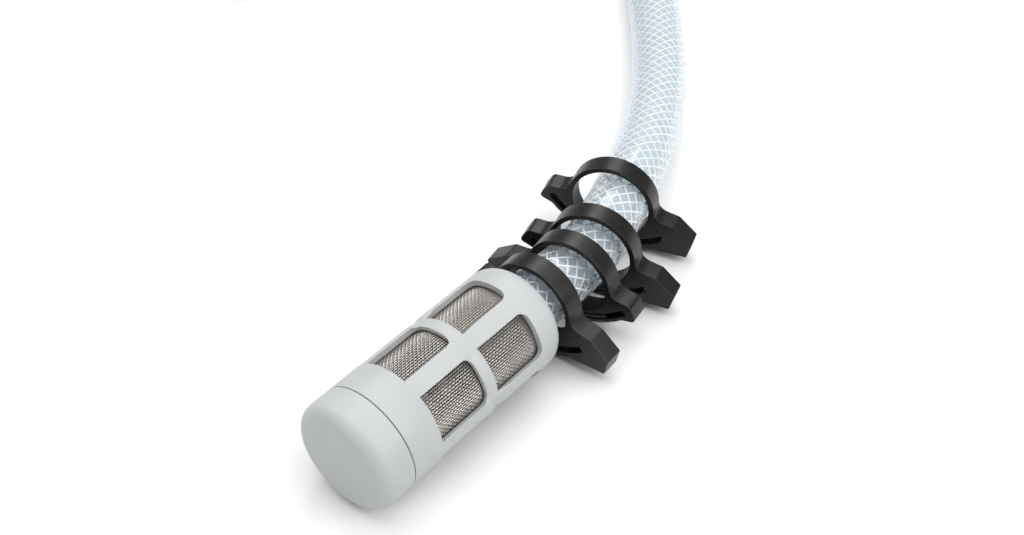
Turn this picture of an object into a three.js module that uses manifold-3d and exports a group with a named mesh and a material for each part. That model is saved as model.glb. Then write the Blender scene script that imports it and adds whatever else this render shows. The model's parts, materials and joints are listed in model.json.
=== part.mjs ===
// Foot valve for a half-inch suction hose: a screened strainer with a spring-loaded check valve inside,
// the reinforced hose that it hangs on, and four snap-grip hose clips waiting loose on the hose.
// Millimetres, +Z up, strainer axis along +X with its end cap at -X, everything lying on the floor z = 0.

import * as THREE from 'three';
import * as BufferGeometryUtils from 'three/addons/utils/BufferGeometryUtils.js';
import Module from 'manifold-3d';

const wasm = await Module();
wasm.setup();

// ---------------------------------------------------------------- driving dimensions

const FIT = 0.3;                    // running and seating clearance between any two pieces
const EPS = 1;                      // how far a cutter reaches past what it cuts

const STRAINER_R = 17;              // outside radius of the strainer
const STRAINER_L = 74.4;            // its length over all
const WALL = 2;                     // wall of the moulded cage
const CAP_L = 11.2;                 // end cap, from its face to the seam
const CAP_EDGE = 4.6;               // rounding round the cap's face
const CAP_WALL = 2.2;
const PLUG_L = 5.5;                 // skirt of the cap inside the cage
const COLLAR_L = 10.8;              // plain collar of the cage behind the seam
const COLLAR_STEP = 0.15;           // the collar stands this much proud of the ribs

const WINDOWS_ROUND = 5;
const WINDOW_LENGTHS = [19, 18.6];  // near row, far row
const WINDOW_W = 14.8;
const WINDOW_CORNER = 2.6;          // rounded corners at each window's far end
const WINDOW_TURN = 113;            // degrees from +Y to the first rib
const MID_RING = 4.1;               // ring between the rows of windows
const MID_RING_DROP = 0.5;          // its surface lies this much below the ribs
const RIM_EDGE = 5.5;               // rounding of the far rim
const END_WALL = 6.4;               // thickness of the far end wall

const MESH_WALL = 0.4;              // woven steel cloth, rolled to a tube

const HOSE_R = 9.75;                // hose, 19.5 mm outside
const HOSE_BORE_R = 6.35;           // half-inch bore
const TAIL_BORE_R = 4.2;
const SHANK_R = 7;                  // plain shank of the hose tail through the end wall
const BARB_R = HOSE_BORE_R - FIT;
const BARB_ROOT_R = 5.4;
const BARBS = 4;
const BARB_PITCH = 4.6;
const FLANGE_L = 3.2;

const BODY_R = 10;                  // check valve body
const BODY_L = 19;
const BODY_WALL = 1.8;
const SEAT_R = 4.6;                 // hole that the poppet closes
const SEAT_L = 2.4;
const POPPET_R = 6.4;
const POPPET_L = 1.8;
const POPPET_TRAVEL = 3.2;
const STEM_R = 1.4;
const SEAL_WIRE = 1.0;              // radius of the rubber rings' section
const SPRING_R = 3.6;
const SPRING_WIRE = 0.35;
const SPRING_TURNS = 5;
const GUIDE_L = 2.4;
const GUIDE_ARMS = 3;

const CLIP_PLAY = 2.75;             // open, a clip's bore is this much larger than the hose
const RING_IN = HOSE_R + CLIP_PLAY; // its bore radius
const BAND = 1.7;                   // thickness of the clip's band
const CLIP_W = 6.5;                 // width of the clip along the hose
const CLIP_RISE = 13.8;             // the crown stands this much above the hose's middle
const JAW_CLEAR = 0.2;              // the inner jaw stays this much further from the crown than the hose's far side
const JAW_THICK = [1.15, 1.3, 1.4, 1.9];    // four jaws about the crown, from the inside outwards
const JAW_TIPS = [0, -31, 15.5, -11];   // degrees from straight down to each jaw's tip
const SLOT_ENDS = [-47, 42];            // blind ends of the left and the right slot
const NOTCH = 9;                        // each half's face at the crown leans back by this

// Each clip: its crown's distance past the strainer and its place across, its turn about +Z and its roll
// about its own axis, in degrees. The third one was threaded on the other way round.
const CLIPS = [
  { name: 'clip_1', past: 54.2, y: 7.3, turn: 19, roll: -6.5 },
  { name: 'clip_2', past: 33, y: -1.5, turn: 16, roll: -6 },
  { name: 'clip_3', past: 18.8, y: -2.1, turn: 9, roll: 0, reversed: true },
  { name: 'clip_4', past: 3.8, y: -1, turn: 3, roll: -3 },
];

// The hose's route: distance past the strainer, place across, and height from 0, lying on the floor, to 1,
// level with the strainer's axis.
const HOSE_START = FIT;
const HOSE_ROUTE = [
  [HOSE_START, 0, 1], [9.6, 0, 1], [18.6, 0, 1], [26.6, 0.3, 1], [35.6, 1.5, 1], [44.6, 3.8, 1],
  [53.6, 6.5, 1], [63.6, 9.9, 0.97], [73.6, 13.6, 0.88], [83.6, 17.9, 0.75], [94.6, 23.3, 0.61],
  [106.6, 29.9, 0.48], [119.6, 38, 0.31], [134.6, 48.6, 0.17], [150.6, 61.3, 0.08], [166.6, 75, 0.02],
  [184.6, 90.4, 0], [200.6, 104, 0], [215.1, 116.4, 0],
];
const HOSE_STEPS = 34;
const HOSE_SIDES = 12;

const COIL_CENTRE = [192.1, 249];   // past the strainer and across
const COIL_START_R = 116.05;        // middle of the outer turn where it begins
const COIL_END_R = 81.75;           // and of the inner turn
const TIE_T = 0.9;
const TIE_W = 8;
const TIE_AT = 200;                 // degrees round the coil

// ---------------------------------------------------------------- colours

const greyPlastic = () => new THREE.MeshStandardMaterial({ color: 0xdde2e2, roughness: 0.55, metalness: 0 });
const blackNylon = () => new THREE.MeshStandardMaterial({ color: 0x2e2d2c, roughness: 0.5, metalness: 0 });
const steelCloth = () => new THREE.MeshStandardMaterial({ color: 0xb8b0a6, roughness: 0.35, metalness: 0.9 });
const steelWire = () => new THREE.MeshStandardMaterial({ color: 0xb9bcc0, roughness: 0.3, metalness: 1 });
const whitePlastic = () => new THREE.MeshStandardMaterial({ color: 0xe8e8e4, roughness: 0.5, metalness: 0 });
const blackRubber = () => new THREE.MeshStandardMaterial({ color: 0x1d1d1d, roughness: 0.8, metalness: 0 });
const clearPvc = () => new THREE.MeshStandardMaterial({ color: 0xd8e4e8, roughness: 0.25, metalness: 0 });

// ---------------------------------------------------------------- making solids

const rad = THREE.MathUtils.degToRad;

// One closed body: shared vertices, faces outwards.
function closed(geometry) {
  geometry.deleteAttribute('normal');
  geometry.deleteAttribute('uv');
  const body = BufferGeometryUtils.mergeVertices(geometry, 1e-4);
  const at = body.attributes.position;
  const index = body.index.array;
  const corner = (k) => new THREE.Vector3().fromBufferAttribute(at, index[k]);
  const kept = [];
  let volume = 0;
  for (let k = 0; k < index.length; k += 3) {
    if (index[k] === index[k + 1] || index[k + 1] === index[k + 2] || index[k + 2] === index[k]) continue;
    kept.push(index[k], index[k + 1], index[k + 2]);
    volume += corner(k).dot(corner(k + 1).cross(corner(k + 2)));
  }
  if (volume < 0) kept.reverse();
  body.setIndex(kept);
  return body;
}

function toSolid(geometry) {
  const body = closed(geometry);
  return new wasm.Manifold(new wasm.Mesh({
    numProp: 3,
    vertProperties: new Float32Array(body.attributes.position.array),
    triVerts: new Uint32Array(body.index.array),
  }));
}

function toGeometry(solid) {
  const mesh = solid.getMesh();
  const geometry = new THREE.BufferGeometry();
  geometry.setAttribute('position', new THREE.BufferAttribute(new Float32Array(mesh.vertProperties), 3));
  geometry.setIndex([...mesh.triVerts]);
  return geometry;
}

// A body turned about the X axis from its half section, given as [x, radius] points.
function turned(section, sides = 48) {
  const profile = section.map(([x, r]) => new THREE.Vector2(r, x));
  const onAxis = section[0][1] === 0 && section[section.length - 1][1] === 0;
  if (!onAxis) profile.push(profile[0].clone());
  const geometry = new THREE.LatheGeometry(profile, sides);
  geometry.rotateZ(-Math.PI / 2);
  return closed(geometry);
}

// Points of a quarter ellipse from angle a to b (degrees) about [x, r], with half axes ax and ar.
function quarter([x, r], ax, ar, a, b, steps = 6) {
  const points = [];
  for (let k = 0; k <= steps; k += 1) {
    const t = rad(a + ((b - a) * k) / steps);
    points.push([x + ax * Math.cos(t), r + ar * Math.sin(t)]);
  }
  return points;
}

function piece(name, geometry, material) {
  const mesh = new THREE.Mesh(geometry, material);
  mesh.name = name;
  return mesh;
}

const group = new THREE.Group();
const strainer = new THREE.Group();          // its axis is X, its cap face at x = 0
strainer.position.z = STRAINER_R;
group.add(strainer);

// ---------------------------------------------------------------- end cap

const cageBore = STRAINER_R - WALL;
const capBore = STRAINER_R - CAP_WALL;
const plugR = cageBore - FIT;
const plugEnd = CAP_L + PLUG_L;

function endCap() {
  const plugBore = plugR - CAP_WALL;
  return turned([
    [0, 0],
    ...quarter([CAP_EDGE, STRAINER_R - CAP_EDGE], CAP_EDGE, CAP_EDGE, 180, 90),
    [CAP_L, STRAINER_R], [CAP_L, plugR], [plugEnd, plugR], [plugEnd, plugBore],
    [CAP_WALL * 2, plugBore], [CAP_WALL, plugBore - CAP_WALL], [CAP_WALL, 0],
  ]);
}
strainer.add(piece('end_cap', endCap(), greyPlastic()));

// ---------------------------------------------------------------- cage

const cageStart = CAP_L + FIT;
const collarEnd = cageStart + COLLAR_L;
const endWallStart = STRAINER_L - END_WALL;

function cageBlank() {
  const ribR = STRAINER_R - COLLAR_STEP;
  return toSolid(turned([
    [cageStart, cageBore], [cageStart, STRAINER_R], [collarEnd, STRAINER_R], [collarEnd + COLLAR_STEP, ribR],
    [STRAINER_L - RIM_EDGE, ribR],
    ...quarter([STRAINER_L - RIM_EDGE, ribR - RIM_EDGE], RIM_EDGE, RIM_EDGE, 80, 0, 5),
    [STRAINER_L, SHANK_R + FIT], [endWallStart, SHANK_R + FIT], [endWallStart, cageBore],
  ], 60));
}

// A window's outline in its own plane: square at the collar end, rounded at the far end.
function windowShape(length) {
  const half = WINDOW_W / 2;
  const c = WINDOW_CORNER;
  const shape = new THREE.Shape();
  shape.moveTo(0, -half);
  shape.lineTo(length - c, -half);
  shape.absarc(length - c, -half + c, c, -Math.PI / 2, 0);
  shape.lineTo(length, half - c);
  shape.absarc(length - c, half - c, c, 0, Math.PI / 2);
  shape.lineTo(0, half);
  shape.closePath();
  return shape;
}

// A block with that outline, standing outwards from radius r0 at angle turn (degrees from +Y to +Z).
function radialBlock(shape, start, r0, turn) {
  const block = new THREE.ExtrudeGeometry(shape, {
    depth: STRAINER_R + EPS - r0, bevelEnabled: false, curveSegments: 4,
  });
  block.translate(start, 0, r0);
  block.rotateX(rad(turn - 90));
  return toSolid(block);
}

const windowStarts = [collarEnd, collarEnd + WINDOW_LENGTHS[0] + MID_RING];
const windowsEnd = windowStarts[1] + WINDOW_LENGTHS[1];

function cage() {
  const pitch = 360 / WINDOWS_ROUND;
  let solid = cageBlank();
  for (let k = 0; k < WINDOWS_ROUND; k += 1) {
    const turn = WINDOW_TURN + pitch * (k + 0.5);
    WINDOW_LENGTHS.forEach((length, row) => {
      solid = solid.subtract(radialBlock(windowShape(length), windowStarts[row], cageBore - EPS * 3, turn));
    });
    const recess = windowShape(windowsEnd - collarEnd);
    solid = solid.subtract(radialBlock(recess, collarEnd, STRAINER_R - MID_RING_DROP, turn));
  }
  return toGeometry(solid);
}
strainer.add(piece('strainer_cage', cage(), greyPlastic()));

// ---------------------------------------------------------------- mesh screen

function meshScreen() {
  const outer = cageBore - FIT;
  const start = plugEnd + FIT;
  const end = endWallStart - FIT;
  return turned([
    [start, outer], [end, outer], [end, outer - MESH_WALL], [start, outer - MESH_WALL],
  ], 64);
}
strainer.add(piece('mesh_screen', meshScreen(), steelCloth()));

// ---------------------------------------------------------------- hose tail and its seal

const flangeEnd = endWallStart - FIT;
const flangeStart = flangeEnd - FLANGE_L;
const sealR = (SHANK_R + FIT + BODY_R) / 2 + 0.6;
const tailEnd = STRAINER_L + FIT * 2 + BARBS * BARB_PITCH;

function hoseTail() {
  const grooveHalf = SEAL_WIRE + FIT;
  const section = [
    [flangeStart, TAIL_BORE_R], [flangeStart, BODY_R + 1.5], [flangeEnd, BODY_R + 1.5],
    [flangeEnd, sealR + grooveHalf], [flangeEnd - SEAL_WIRE, sealR + grooveHalf],
    [flangeEnd - SEAL_WIRE, sealR - grooveHalf], [flangeEnd, sealR - grooveHalf], [flangeEnd, SHANK_R],
    [STRAINER_L - FIT, SHANK_R], [STRAINER_L, BARB_ROOT_R],
  ];
  for (let k = 0; k < BARBS; k += 1) {
    const foot = STRAINER_L + FIT * 2 + k * BARB_PITCH;
    section.push([foot, BARB_ROOT_R], [foot, BARB_R], [foot + 0.8, BARB_R], [foot + BARB_PITCH - 0.2, BARB_ROOT_R]);
  }
  section.push([tailEnd, BARB_ROOT_R], [tailEnd, TAIL_BORE_R]);
  return turned(section, 24);
}
strainer.add(piece('hose_tail', hoseTail(), greyPlastic()));

function rubberRing(x, r, wire) {
  const ring = new THREE.TorusGeometry(r, wire, 6, 30);
  ring.rotateY(Math.PI / 2);
  ring.translate(x, 0, 0);
  return closed(ring);
}
// The ring lies in the flange's groove and meets the end wall.
const tailSealWire = SEAL_WIRE / 2;
strainer.add(piece('tail_seal', rubberRing(flangeEnd - tailSealWire + FIT / 3, sealR, tailSealWire), blackRubber()));

// ---------------------------------------------------------------- check valve

const bodyEnd = flangeStart - FIT;
const bodyStart = bodyEnd - BODY_L;
const bodyBore = BODY_R - BODY_WALL;
const seatFace = bodyStart + SEAT_L;

function valveBody() {
  return turned([
    [bodyStart, SEAT_R], [bodyStart, BODY_R - 1.2], [bodyStart + 1.2, BODY_R], [bodyEnd, BODY_R],
    [bodyEnd, bodyBore], [seatFace, bodyBore], [seatFace, SEAT_R + 0.8], [seatFace - 0.8, SEAT_R],
  ], 30);
}
strainer.add(piece('valve_body', valveBody(), whitePlastic()));

// The poppet's head carries a rubber ring that closes on the seat; its stem slides in the guide.
const sealFace = seatFace + FIT;
const headStart = sealFace + SEAL_WIRE;
const headEnd = headStart + POPPET_L;
const guideStart = bodyEnd - GUIDE_L;
const stemEnd = bodyEnd + FIT;
const noseR = SEAT_R - 1.2;

function poppet() {
  const grooveR = noseR + 0.2;
  return turned([
    [bodyStart + 0.6, 0], [bodyStart + 0.6, noseR - 1.2], [seatFace - 0.6, noseR], [headStart, grooveR],
    [headStart, POPPET_R], [headEnd, POPPET_R], [headEnd, STEM_R], [stemEnd, STEM_R], [stemEnd, 0],
  ], 32);
}
strainer.add(piece('poppet', poppet(), whitePlastic()));

const poppetSealR = SEAT_R + 0.8 + SEAL_WIRE * 0.5;
const poppetSealWire = SEAL_WIRE / 2;
strainer.add(piece('poppet_seal',
  rubberRing(headStart - FIT - poppetSealWire, poppetSealR, poppetSealWire - FIT / 3), blackRubber()));

// Three arms hold a hub round the stem; the rim sits in the body's mouth.
const hubR = STEM_R + FIT + 1.4;
function valveGuide() {
  const rimR = bodyBore - FIT;
  const rim = toSolid(turned([
    [guideStart, rimR - 1.4], [guideStart, rimR], [bodyEnd, rimR], [bodyEnd, rimR - 1.4],
  ], 40));
  const hub = toSolid(turned([
    [guideStart, STEM_R + FIT], [guideStart, hubR], [bodyEnd, hubR], [bodyEnd, STEM_R + FIT],
  ], 24));
  let solid = rim.add(hub);
  for (let k = 0; k < GUIDE_ARMS; k += 1) {
    const arm = new THREE.BoxGeometry(GUIDE_L - 0.4, rimR - hubR - 0.2, 1.2);
    arm.translate((guideStart + bodyEnd) / 2, (rimR + hubR - 0.6) / 2, 0);
    arm.rotateX((2 * Math.PI * k) / GUIDE_ARMS);
    solid = solid.add(toSolid(arm));
  }
  return toGeometry(solid);
}
strainer.add(piece('valve_guide', valveGuide(), whitePlastic()));

// The spring stands between the poppet's head and the guide's hub.
class Helix extends THREE.Curve {
  constructor(start, end, radius, turns) {
    super();
    Object.assign(this, { start, end, radius, turns });
  }

  getPoint(t, target = new THREE.Vector3()) {
    const a = 2 * Math.PI * this.turns * t;
    const x = this.start + (this.end - this.start) * t;
    return target.set(x, this.radius * Math.cos(a), this.radius * Math.sin(a));
  }
}

function spring() {
  const inset = FIT + SPRING_WIRE;
  const path = new Helix(headEnd + inset, guideStart - inset, SPRING_R, SPRING_TURNS);
  const section = new THREE.Shape();
  section.absarc(0, 0, SPRING_WIRE, 0, 2 * Math.PI);
  return closed(new THREE.ExtrudeGeometry(section, {
    steps: SPRING_TURNS * 14, curveSegments: 3, extrudePath: path, bevelEnabled: false,
  }));
}
strainer.add(piece('valve_spring', spring(), steelWire()));

// ---------------------------------------------------------------- clips

// A clip is drawn seen from the cap, u to the right and v up, with the bore's centre at the origin. Its
// two halves meet at the crown, where the band flexes, and their jaws run on arcs about the crown.
const crownV = RING_IN + BAND;
const aboutCrown = (r, degrees) => [r * Math.sin(rad(degrees)), crownV - r * Math.cos(rad(degrees))];

function jawArc(r, from, to) {
  const steps = Math.max(3, Math.ceil(Math.abs(to - from) / 5));
  return Array.from({ length: steps + 1 }, (_, k) => aboutCrown(r, from + ((to - from) * k) / steps));
}

function boreArc(r, from, to) {
  const steps = Math.max(3, Math.ceil(Math.abs(to - from) / 9));
  return Array.from({ length: steps + 1 }, (_, k) => {
    const a = rad(from + ((to - from) * k) / steps);
    return [r * Math.cos(a), r * Math.sin(a)];
  });
}

// Where the bore meets an arc of radius r about the crown: angle seen from the bore's centre.
function meetAngle(r) {
  const v = (RING_IN ** 2 - r ** 2 + crownV ** 2) / (2 * crownV);
  return THREE.MathUtils.radToDeg(Math.asin(v / RING_IN));
}

const crownGap = FIT / 2;
const notchU = crownGap + BAND * Math.tan(rad(NOTCH));
const notchAngle = THREE.MathUtils.radToDeg(Math.asin(notchU / RING_IN));
// Jaws from the inside outwards, each a running clearance from the next.
const jaws = [];
JAW_THICK.forEach((thick, k) => {
  const r0 = k === 0 ? crownV + HOSE_R + JAW_CLEAR : jaws[k - 1].r1 + FIT;
  jaws.push({ r0, r1: r0 + thick });
});
const [innerLeft, innerRight, outerLeft, outerRight] = jaws;
const [innerLeftTip, innerRightTip, outerLeftTip, outerRightTip] = JAW_TIPS;
const [leftSlotEnd, rightSlotEnd] = SLOT_ENDS;
const lugTop = -0.5;

// The half with the outermost jaw, on the right.
function outerJaw() {
  const meet = meetAngle(innerRight.r0);
  const meetFromCrown = THREE.MathUtils.radToDeg(Math.asin((RING_IN * Math.cos(rad(meet))) / innerRight.r0));
  return [
    [crownGap, crownV], ...boreArc(crownV, 85, 10),
    [14.6, 0.9], [15.8, 0], [17.6, lugTop], [21.6, lugTop - 0.3], [28.2, lugTop - 5], [27.4, -11],
    ...jawArc(outerRight.r1, 29, outerRightTip), ...jawArc(outerRight.r0, outerRightTip, rightSlotEnd),
    ...jawArc(innerRight.r1, rightSlotEnd, innerRightTip), ...jawArc(innerRight.r0, innerRightTip, meetFromCrown),
    ...boreArc(RING_IN, meet, 90 - notchAngle).slice(1),
  ];
}

// The half with the innermost jaw and the tongue, on the left.
function innerJaw() {
  const meet = meetAngle(innerLeft.r0);
  const meetFromCrown = THREE.MathUtils.radToDeg(Math.asin((RING_IN * Math.cos(rad(meet))) / innerLeft.r0));
  return [
    ...boreArc(RING_IN, 90 + notchAngle, 180 - meet),
    ...jawArc(innerLeft.r0, -meetFromCrown, innerLeftTip).slice(1),
    ...jawArc(innerLeft.r1, innerLeftTip, leftSlotEnd), ...jawArc(outerLeft.r0, leftSlotEnd, outerLeftTip),
    ...jawArc(outerLeft.r1, outerLeftTip, -35.5),
    [-18.6, -7.4], [-20.8, -6.6], [-22.8, -6.4], [-21, lugTop - 0.3], [-17.6, lugTop], [-15.8, 0], [-14.6, 0.9],
    ...boreArc(crownV, 170, 95), [-crownGap, crownV],
  ];
}

// The clip's plane: u lies to the right of the hose's direction, v up, and the width runs along the hose.
function clipHalf(outline, side) {
  const shape = new THREE.Shape(outline.map(([u, v]) => new THREE.Vector2(side * u, v - crownV)));
  const geometry = new THREE.ExtrudeGeometry(shape, { depth: CLIP_W, bevelEnabled: false });
  geometry.applyMatrix4(new THREE.Matrix4().makeBasis(
    new THREE.Vector3(0, -1, 0), new THREE.Vector3(0, 0, 1), new THREE.Vector3(1, 0, 0),
  ));
  return closed(geometry);
}

for (const { name, past, y, turn, roll, reversed } of CLIPS) {
  const side = reversed ? -1 : 1;
  const clip = new THREE.Group();
  clip.position.set(STRAINER_L + past, y, STRAINER_R + CLIP_RISE);
  clip.rotation.set(rad(-roll), 0, rad(turn), 'ZYX');
  clip.add(piece(`${name}_inner_jaw`, clipHalf(innerJaw(), side), blackNylon()));
  clip.add(piece(`${name}_outer_jaw`, clipHalf(outerJaw(), side), blackNylon()));
  group.add(clip);
}

// ---------------------------------------------------------------- hose, coil and tie

const cords = new THREE.Group();

function hose() {
  const points = HOSE_ROUTE.map(([past, y, lift]) => (
    new THREE.Vector3(STRAINER_L + past, y, HOSE_R + lift * (STRAINER_R - HOSE_R))));
  const route = new THREE.CatmullRomCurve3(points, false, 'centripetal');
  const section = new THREE.Shape();
  section.absarc(0, 0, HOSE_R, 0, 2 * Math.PI);
  const bore = new THREE.Path();
  bore.absarc(0, 0, HOSE_BORE_R / Math.cos(Math.PI / HOSE_SIDES), 0, 2 * Math.PI, true);
  section.holes.push(bore);
  return closed(new THREE.ExtrudeGeometry(section, {
    steps: HOSE_STEPS, curveSegments: HOSE_SIDES / 2, extrudePath: route, bevelEnabled: false,
  }));
}
cords.add(piece('hose', hose(), clearPvc()));

const coilBottom = TIE_T + FIT;
const coilTop = coilBottom + 2 * HOSE_R;
const coilOut = COIL_START_R + HOSE_R;
const coilIn = COIL_END_R - HOSE_R;
function hoseCoil() {
  const c = 4;
  const section = [
    [coilIn + c, coilBottom], [coilOut - c, coilBottom], [coilOut, coilBottom + c],
    [coilOut, coilTop - c], [coilOut - c, coilTop], [coilIn + c, coilTop],
    [coilIn, coilTop - c], [coilIn, coilBottom + c], [coilIn + c, coilBottom],
  ];
  const ring = new THREE.LatheGeometry(section.map(([r, z]) => new THREE.Vector2(r, z)), 48);
  ring.rotateX(Math.PI / 2);
  return closed(ring);
}

function coilTie() {
  const [inner, outer] = [coilIn - FIT * 3, coilOut + FIT];
  const loop = new THREE.Shape();
  loop.moveTo(inner - TIE_T, 0);
  loop.lineTo(outer + TIE_T, 0);
  loop.lineTo(outer + TIE_T, coilTop + FIT + TIE_T);
  loop.lineTo(inner - TIE_T, coilTop + FIT + TIE_T);
  loop.closePath();
  const hole = new THREE.Path();
  hole.moveTo(inner, TIE_T);
  hole.lineTo(inner, coilTop + FIT);
  hole.lineTo(outer, coilTop + FIT);
  hole.lineTo(outer, TIE_T);
  hole.closePath();
  loop.holes.push(hole);
  const geometry = new THREE.ExtrudeGeometry(loop, { depth: TIE_W, bevelEnabled: false });
  geometry.translate(0, 0, -TIE_W / 2);
  geometry.rotateX(Math.PI / 2);
  geometry.rotateZ(rad(TIE_AT));
  return closed(geometry);
}

const coil = new THREE.Group();
coil.position.set(STRAINER_L + COIL_CENTRE[0], COIL_CENTRE[1], 0);
coil.add(piece('hose_coil', hoseCoil(), clearPvc()));
coil.add(piece('coil_tie', coilTie(), blackNylon()));
cords.add(coil);

// ---------------------------------------------------------------- place the origin under the middle

const box = new THREE.Box3().setFromObject(group, true);
group.add(cords);
group.position.set(-(box.min.x + box.max.x) / 2, -(box.min.y + box.max.y) / 2, -box.min.z);

export default group;
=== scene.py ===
import json
import math

import bmesh
import bpy
from mathutils import Matrix, Vector


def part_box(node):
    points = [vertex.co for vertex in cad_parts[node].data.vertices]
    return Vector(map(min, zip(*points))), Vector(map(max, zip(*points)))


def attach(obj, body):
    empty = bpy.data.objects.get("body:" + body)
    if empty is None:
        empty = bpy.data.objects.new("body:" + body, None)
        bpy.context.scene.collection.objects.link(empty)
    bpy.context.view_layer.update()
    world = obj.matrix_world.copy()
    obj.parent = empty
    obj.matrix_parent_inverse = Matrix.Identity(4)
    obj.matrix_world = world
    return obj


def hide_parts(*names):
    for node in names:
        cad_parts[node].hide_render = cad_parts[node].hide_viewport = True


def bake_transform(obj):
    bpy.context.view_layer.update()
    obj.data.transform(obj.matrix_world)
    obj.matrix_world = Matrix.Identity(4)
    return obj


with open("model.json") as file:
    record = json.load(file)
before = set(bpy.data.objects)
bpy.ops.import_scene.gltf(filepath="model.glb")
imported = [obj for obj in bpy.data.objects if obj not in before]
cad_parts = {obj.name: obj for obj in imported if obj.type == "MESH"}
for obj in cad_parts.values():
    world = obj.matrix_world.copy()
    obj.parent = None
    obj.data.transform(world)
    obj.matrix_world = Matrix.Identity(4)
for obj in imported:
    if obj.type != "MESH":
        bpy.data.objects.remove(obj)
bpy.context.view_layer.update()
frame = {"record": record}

MM = 0.001

# ------------------------------------------------------------------ where it is looked at from
# The strainer lies with its cap nearest and its hose running away to the right. The eye is above and
# in front of the cap, and a moderately long lens keeps the far clips almost as large as the near one.

cap_low, cap_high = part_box("end_cap")
AXIS_Y = (cap_low.y + cap_high.y) / 2
AXIS_Z = (cap_low.z + cap_high.z) / 2
CAP_FACE = Vector((cap_low.x, AXIS_Y, 0))

EYE_FROM_CAP = Vector((-151.34, -188.35, 317.1)) * MM
SIGHT_LINE = Vector((0.549027, 0.466727, -0.693351))

lens = bpy.data.cameras.new("camera")
lens.lens = 50.76
lens.sensor_width = 36
camera = bpy.data.objects.new("camera", lens)
camera.location = CAP_FACE + EYE_FROM_CAP
camera.rotation_euler = SIGHT_LINE.to_track_quat("-Z", "Y").to_euler()
bpy.context.collection.objects.link(camera)
bpy.context.scene.camera = camera

# ------------------------------------------------------------------ hose
# Half-inch clear PVC suction hose with a polyester braid between its two layers. It is pushed over the
# strainer's tail, runs off over the floor, and the rest of it is wound flat and tied.

HOSE_RADIUS = 9.75 * MM
HOSE_BORE = 6.35 * MM
HOSE_SIDES = 32
STRAINER_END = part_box("strainer_cage")[1].x
COIL_CENTRE = Vector((STRAINER_END + 192.1 * MM, AXIS_Y + 249 * MM, 0))
COIL_START = 116.05 * MM        # radius of the hose's middle in the outer turn
COIL_PITCH = 19.6 * MM          # from one turn to the next
COIL_TURNS = 1.75
COIL_STEPS = 180
STRAIGHT_STEPS = 16             # between the run over the floor and the coil
ENTRY_TURN = math.radians(-49.6)    # where the hose meets the coil, from +X
TIE_TURN = math.radians(200)
TIE_LIFT = 1.2 * MM             # the strap under it lifts the hose this much
TIE_SPREAD = 0.35               # and over this much of a turn to each side, in radians
STATION = 3.5 * MM              # distance between the hose's rings

# Past the strainer's end, across, and height from 0, lying, to 1, level with the strainer's axis.
RUN_OUT = [
    (0.3, 0, 1), (9.6, 0, 1), (18.6, 0, 1), (26.6, 0.3, 1), (35.6, 1.5, 1), (44.6, 3.8, 1),
    (53.6, 6.5, 1), (63.6, 9.9, 0.97), (73.6, 13.6, 0.88), (83.6, 17.9, 0.75), (94.6, 23.3, 0.61),
    (106.6, 29.9, 0.48), (119.6, 38, 0.31), (134.6, 48.6, 0.17), (150.6, 61.3, 0.08),
    (166.6, 75, 0.02), (184.6, 90.4, 0), (200.6, 104, 0), (215.1, 116.4, 0),
]


def smooth_through(points, pieces=12):
    """More points on the smooth curve through these."""
    ends = [points[0] * 2 - points[1], *points, points[-1] * 2 - points[-2]]
    curve = []
    for a, b, c, d in zip(ends, ends[1:], ends[2:], ends[3:]):
        for k in range(pieces):
            t = k / pieces
            curve.append(0.5 * (
                2 * b + (c - a) * t + (2 * a - 5 * b + 4 * c - d) * t ** 2
                + (3 * b - a - 3 * c + d) * t ** 3
            ))
    return curve + [points[-1]]


def coil_point(turned_by):
    """Where the hose's middle is after this much of the coil, in radians."""
    turn = ENTRY_TURN + turned_by
    radius = COIL_START - COIL_PITCH * turned_by / (2 * math.pi)
    from_tie = (turn - TIE_TURN + math.pi) % (2 * math.pi) - math.pi
    lift = TIE_LIFT * math.exp(-(from_tie / TIE_SPREAD) ** 2)
    return COIL_CENTRE + Vector((radius * math.cos(turn), radius * math.sin(turn), HOSE_RADIUS + lift))


run = smooth_through([
    Vector((STRAINER_END + x * MM, AXIS_Y + y * MM, HOSE_RADIUS + lift * (AXIS_Z - HOSE_RADIUS)))
    for x, y, lift in RUN_OUT
])
winding = [coil_point(2 * math.pi * COIL_TURNS * k / COIL_STEPS) for k in range(COIL_STEPS + 1)]
straight = [run[-1].lerp(winding[0], k / STRAIGHT_STEPS) for k in range(1, STRAIGHT_STEPS)]
rough_line = run + straight + winding


def evenly_spaced(line, gap):
    """The same line with its points this far apart."""
    lengths = [0.0]
    for a, b in zip(line, line[1:]):
        lengths.append(lengths[-1] + (b - a).length)
    count = round(lengths[-1] / gap)
    even, at = [], 0
    for k in range(count + 1):
        wanted = lengths[-1] * k / count
        while at < len(line) - 2 and lengths[at + 1] < wanted:
            at += 1
        share = (wanted - lengths[at]) / (lengths[at + 1] - lengths[at])
        even.append(line[at].lerp(line[at + 1], share))
    return even, lengths[-1]


hose_line, HOSE_LENGTH = evenly_spaced(rough_line, STATION)
STEP = HOSE_LENGTH / (len(hose_line) - 1)
UP = Vector((0, 0, 1))
hose_frames = []
for k, place in enumerate(hose_line):
    ahead = (hose_line[min(k + 1, len(hose_line) - 1)] - hose_line[max(k - 1, 0)]).normalized()
    side = UP.cross(ahead).normalized()
    hose_frames.append((place, side, ahead.cross(side)))


def lay_along_hose(bm):
    """A straight body along +X from x = 0 takes the hose's route."""
    for v in bm.verts:
        at = min(max(v.co.x / STEP, 0), len(hose_frames) - 1.001)
        k = int(at)
        (p0, s0, u0), (p1, s1, u1) = hose_frames[k], hose_frames[k + 1]
        t = at - k
        v.co = p0.lerp(p1, t) + s0.lerp(s1, t) * v.co.y + u0.lerp(u1, t) * v.co.z


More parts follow.
